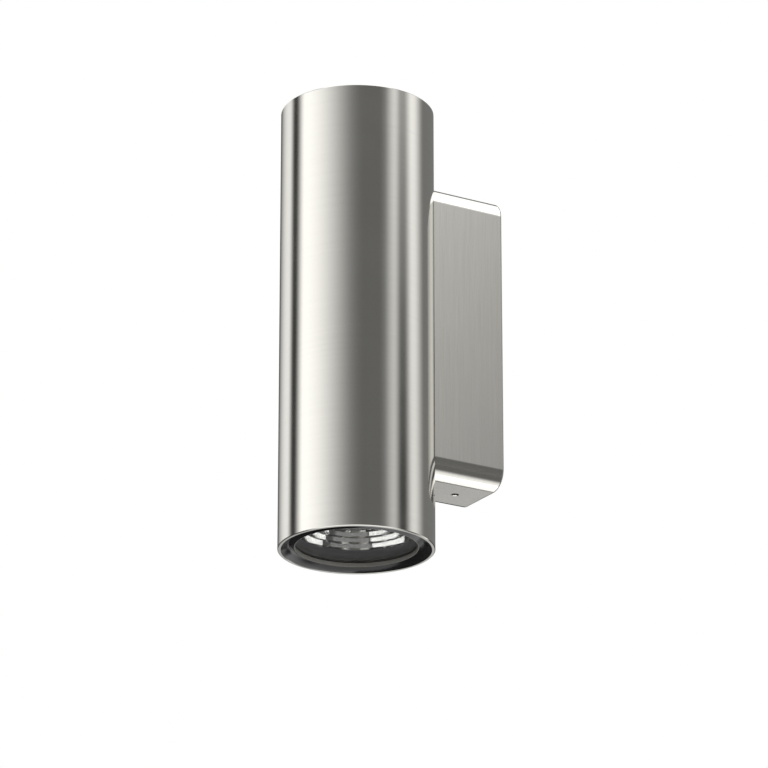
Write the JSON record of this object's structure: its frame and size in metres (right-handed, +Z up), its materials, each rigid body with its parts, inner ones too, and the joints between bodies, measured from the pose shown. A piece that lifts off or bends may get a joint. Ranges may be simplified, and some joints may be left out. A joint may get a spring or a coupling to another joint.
{
  "type": "tube wall light",
  "caption": "Up-and-down wall light: an upright brushed steel tube on a slim coped bracket box, with a black ring, clear glass and stepped reflector in each mouth.",
  "frame": {"origin": "middle of the wall plate's back face, on the wall", "axes": "+Z up along the tube, +Y into the wall, +X to the right seen from the room"},
  "size_m": [0.07, 0.1, 0.21],
  "materials": {
    "brushed_tube": "stainless steel, fine brushed along the tube, satin to bright",
    "brushed_box": "stainless steel, fine brushed upright, satin",
    "zinc_steel": "zinc plated sheet steel",
    "steel_screws": "zinc plated steel screws",
    "lock_steel": "stainless set screw",
    "brass": "brass earth screw",
    "black_rubber": "matt black rubber",
    "block_white": "white moulded plastic",
    "black_ring": "black anodised, satin",
    "clear_glass": "clear flat glass",
    "black_baffle": "matt black",
    "satin_reflector": "satin anodised reflector",
    "raw_aluminium": "plain turned or extruded aluminium",
    "board_white": "aluminium board with white solder mask",
    "phosphor": "yellow phosphor in silicone",
    "holder_white": "white moulded plastic",
    "driver_white": "white moulded plastic"
  },
  "bodies": {
    "wall_mount": {"wall_plate": "zinc_steel", "cable_grommet": "black_rubber", "terminal_block": "block_white", "terminal_screws": "steel_screws", "terminal_fixing_screw": "steel_screws", "earth_screw": "brass", "earth_washer": "steel_screws"},
    "housing": {"driver_case": "driver_white", "driver_cover": "driver_white", "driver_screws": "steel_screws", "driver_tray": "zinc_steel", "lower_baffle": "black_baffle", "lower_end_collar": "raw_aluminium", "lower_heatsink": "raw_aluminium", "lower_heatsink_screws": "steel_screws", "lower_led_board": "board_white", "lower_led_emitter": "phosphor", "lower_led_holder": "holder_white", "lower_led_screws": "steel_screws", "lower_reflector": "satin_reflector", "rear_gasket": "black_rubber", "saddle_plate": "zinc_steel", "saddle_screws": "steel_screws", "tray_screws": "steel_screws", "tube": "brushed_tube", "upper_baffle": "black_baffle", "upper_end_collar": "raw_aluminium", "upper_heatsink": "raw_aluminium", "upper_heatsink_screws": "steel_screws", "upper_led_board": "board_white", "upper_led_emitter": "phosphor", "upper_led_holder": "holder_white", "upper_led_screws": "steel_screws", "upper_reflector": "satin_reflector", "wall_box": "brushed_box", "wire_grommet": "black_rubber"},
    "lock_screw": {"lock_screw": "lock_steel"},
    "lower_lens": {"lower_glass": "clear_glass", "lower_glass_gasket": "black_rubber"},
    "lower_ring": {"lower_bezel": "black_ring"},
    "upper_lens": {"upper_glass": "clear_glass", "upper_glass_gasket": "black_rubber"},
    "upper_ring": {"upper_bezel": "black_ring"}
  },
  "joints": [
    {"name": "housing_release", "type": "slide", "parent": "wall_mount", "child": "housing", "axis": [0, -1, 0], "range_m": [0, 0.04]},
    {"name": "lock_screw_travel", "type": "slide", "parent": "housing", "child": "lock_screw", "axis": [0, 0, -1], "range_m": [0, 0.002]},
    {"name": "lower_lens_travel", "type": "slide", "parent": "housing", "child": "lower_lens", "axis": [0, 0, -1], "range_m": [0, 0.006]},
    {"name": "lower_ring_turn", "type": "hinge", "parent": "lower_lens", "child": "lower_ring", "pos_m": [0, -0.065, -0.105], "axis": [0, 0, -1], "range_deg": [0, 1440]},
    {"name": "upper_lens_travel", "type": "slide", "parent": "housing", "child": "upper_lens", "axis": [0, 0, 1], "range_m": [0, 0.006]},
    {"name": "upper_ring_turn", "type": "hinge", "parent": "upper_lens", "child": "upper_ring", "pos_m": [0, -0.065, 0.105], "axis": [0, 0, 1], "range_deg": [0, 1440]}
  ],
  "couplings": [
    {"joint": "lower_ring_turn", "follows": "lower_lens_travel", "rad_per_m": 4188.8},
    {"joint": "upper_ring_turn", "follows": "upper_lens_travel", "rad_per_m": 4188.8}
  ]
}
